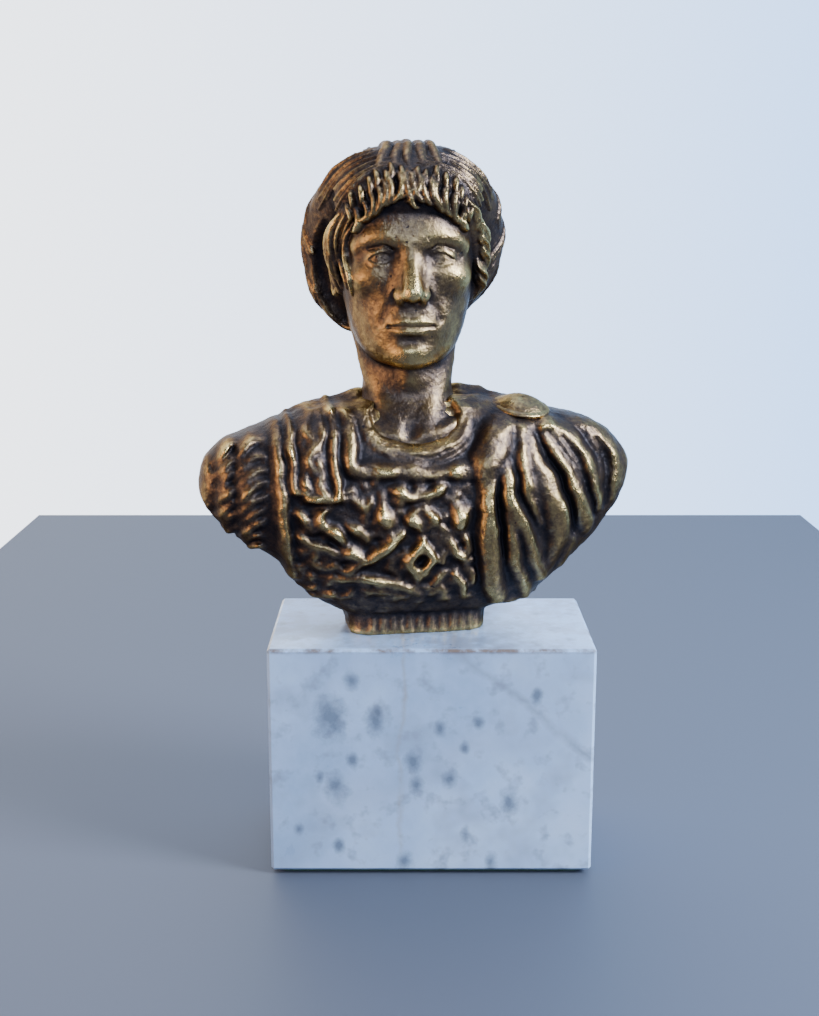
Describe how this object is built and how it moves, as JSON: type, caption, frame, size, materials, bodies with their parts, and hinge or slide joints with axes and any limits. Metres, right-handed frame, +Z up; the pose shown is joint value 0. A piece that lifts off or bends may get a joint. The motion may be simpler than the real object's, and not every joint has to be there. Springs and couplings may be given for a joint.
{
  "type": "portrait bust on a block",
  "caption": "Small cast bust of a commander in cuirass and cloak, fixed by a stud to a white marble block and able to turn on it.",
  "frame": {"origin": "centre of the underside of the felt, on the surface that the object stands on", "axes": "+Z up, -Y towards the front face of the block, +X to the right when looking at the front"},
  "size_m": [0.1079, 0.0537, 0.1789],
  "materials": {
    "felt": "dark green pressed felt",
    "marble": "honed white marble with grey spots and faint veins",
    "torso_bronze": "cast brass, brown-black patina rubbed back to gold on the high points",
    "head_bronze": "cast brass, brown-black patina rubbed back to gold on the high points",
    "brooch_brass": "brass, rubbed bright with dark pits",
    "zinc_steel": "bright zinc plating"
  },
  "bodies": {
    "base": {"base_felt": "felt", "marble_block": "marble", "flat_washer": "zinc_steel"},
    "bust": {"torso_casting": "torso_bronze", "head_casting": "head_bronze", "cloak_brooch": "brooch_brass", "threaded_stud": "zinc_steel", "stud_locknut": "zinc_steel", "spring_washer": "zinc_steel", "hex_nut": "zinc_steel"}
  },
  "joints": [
    {"name": "bust_turn", "type": "hinge", "parent": "base", "child": "bust", "pos_m": [-0.0044, 0, 0.059], "axis": [0, 0, 1], "continuous": true}
  ]
}
